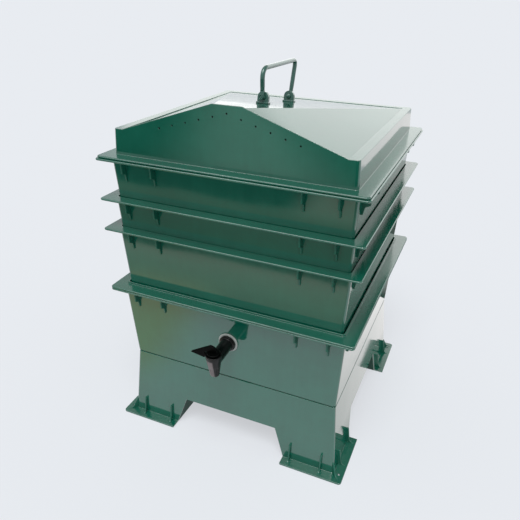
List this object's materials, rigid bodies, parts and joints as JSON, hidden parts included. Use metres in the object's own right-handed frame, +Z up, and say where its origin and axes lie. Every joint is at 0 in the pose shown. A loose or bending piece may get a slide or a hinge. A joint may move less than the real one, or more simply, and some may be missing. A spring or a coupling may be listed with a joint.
{
  "type": "wormery",
  "caption": "Square stacking wormery: footed stand, sump with a lever tap, drain insert, nesting flanged trays with perforated floors, and a gabled lid with a folding rod handle.",
  "frame": {"origin": "on the ground, under the middle of the whole part's bounding box", "axes": "+Z up, +X to the right seen from the tap's side, -Y the front, where the tap and the gable face"},
  "size_m": [0.503, 0.5508, 0.7328],
  "materials": {
    "green_plastic": "glossy moulded bottle-green polypropylene",
    "green_steel": "steel rod and ears with a green coating",
    "zinc_steel": "zinc-plated nuts and screws",
    "black_plastic": "satin-gloss black moulded plastic",
    "grey_plastic": "pale grey washer",
    "seal_rubber": "black flat rubber washer"
  },
  "bodies": {
    "stand": {"stand": "green_plastic"},
    "sump": {"sump_tray": "green_plastic", "tap_body": "black_plastic", "tap_ring": "grey_plastic", "tap_seal": "seal_rubber", "tap_nut": "black_plastic"},
    "tap_lever": {"tap_plug": "black_plastic"},
    "insert": {"sump_insert": "green_plastic"},
    "tray_lower": {"tray_lower": "green_plastic"},
    "tray_middle": {"tray_middle": "green_plastic"},
    "tray_upper": {"tray_upper": "green_plastic"},
    "lid": {"lid": "green_plastic", "handle_bracket_front": "green_steel", "handle_bracket_rear": "green_steel", "handle_bolt_front": "green_steel", "handle_bolt_rear": "green_steel", "handle_nut_front": "zinc_steel", "handle_nut_rear": "zinc_steel", "bracket_screw_front_left": "zinc_steel", "bracket_screw_front_right": "zinc_steel", "bracket_screw_rear_left": "zinc_steel", "bracket_screw_rear_right": "zinc_steel"},
    "handle": {"handle_bail": "green_steel"}
  },
  "joints": [
    {"name": "sump_lift", "type": "slide", "parent": "stand", "child": "sump", "axis": [0, 0, 1], "range_m": [0, 0.2]},
    {"name": "insert_lift", "type": "slide", "parent": "sump", "child": "insert", "axis": [0, 0, 1], "range_m": [0, 0.1]},
    {"name": "tray_lower_lift", "type": "slide", "parent": "insert", "child": "tray_lower", "axis": [0, 0, 1], "range_m": [0, 0.1]},
    {"name": "tray_middle_lift", "type": "slide", "parent": "tray_lower", "child": "tray_middle", "axis": [0, 0, 1], "range_m": [0, 0.15]},
    {"name": "tray_upper_lift", "type": "slide", "parent": "tray_middle", "child": "tray_upper", "axis": [0, 0, 1], "range_m": [0, 0.15]},
    {"name": "lid_lift", "type": "slide", "parent": "tray_upper", "child": "lid", "axis": [0, 0, 1], "range_m": [0, 0.15]},
    {"name": "handle_fold", "type": "hinge", "parent": "lid", "child": "handle", "pos_m": [0, 0.01811, 0.67019], "axis": [0, 0.9901, -0.1405], "range_deg": [-90, 90]},
    {"name": "tap_turn", "type": "hinge", "parent": "sump", "child": "tap_lever", "pos_m": [0, -0.25959, 0.24313], "axis": [0, -0.0529, 0.9986], "range_deg": [0, 90]}
  ]
}
